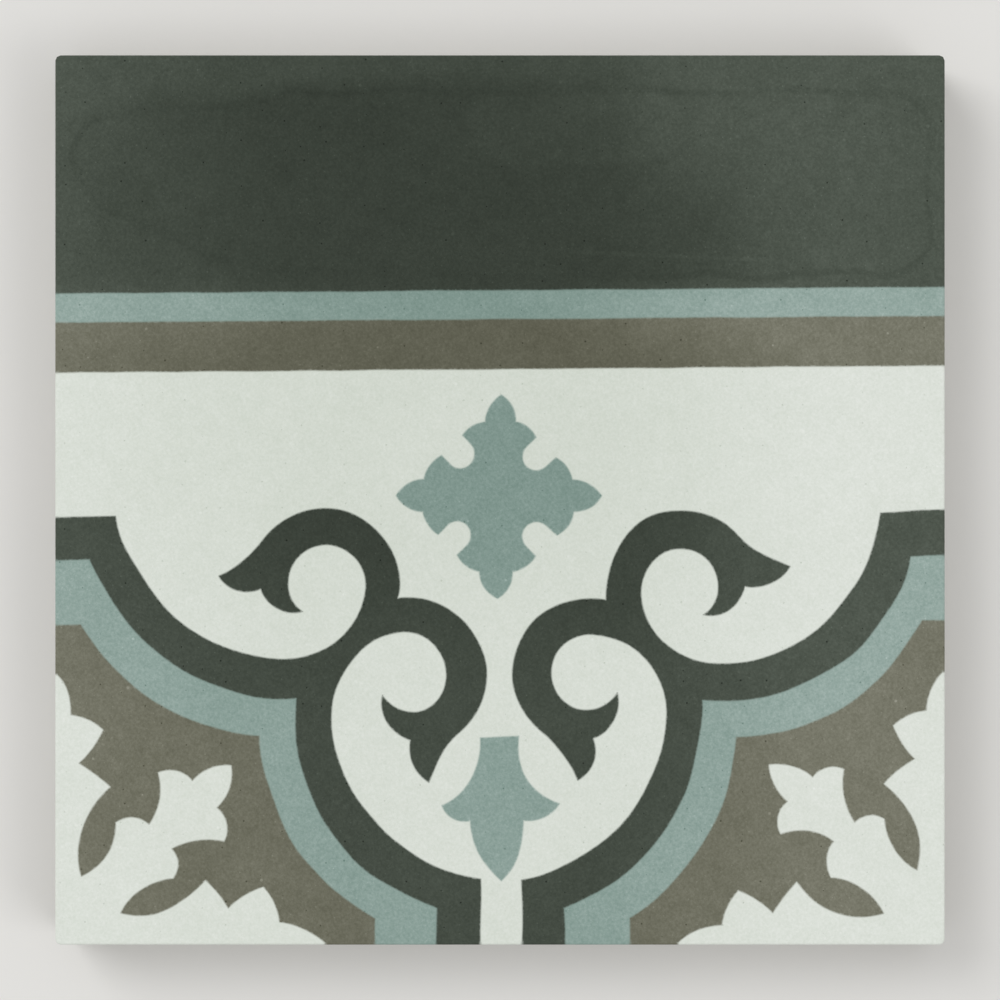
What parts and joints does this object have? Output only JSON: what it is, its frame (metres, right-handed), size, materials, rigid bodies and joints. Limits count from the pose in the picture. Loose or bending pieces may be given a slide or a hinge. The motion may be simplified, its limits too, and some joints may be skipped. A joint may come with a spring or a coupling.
{
  "type": "border tile",
  "caption": "Square patterned cement tile for the edge of a floor: a plain dark border with pale and umber lines, then quarter medallions, scrolls, a cross flower and a bud.",
  "frame": {"origin": "middle of the back, on the bedding plane", "axes": "+Z towards the wearing face, +Y towards the plain dark border at the outside of the floor, +X along the border"},
  "size_m": [0.2, 0.2, 0.016],
  "materials": {
    "pressed_cement": "matt pressed cement, coloured in the mass"
  },
  "bodies": {
    "root": {"border_tile": "pressed_cement"}
  },
  "joints": []
}
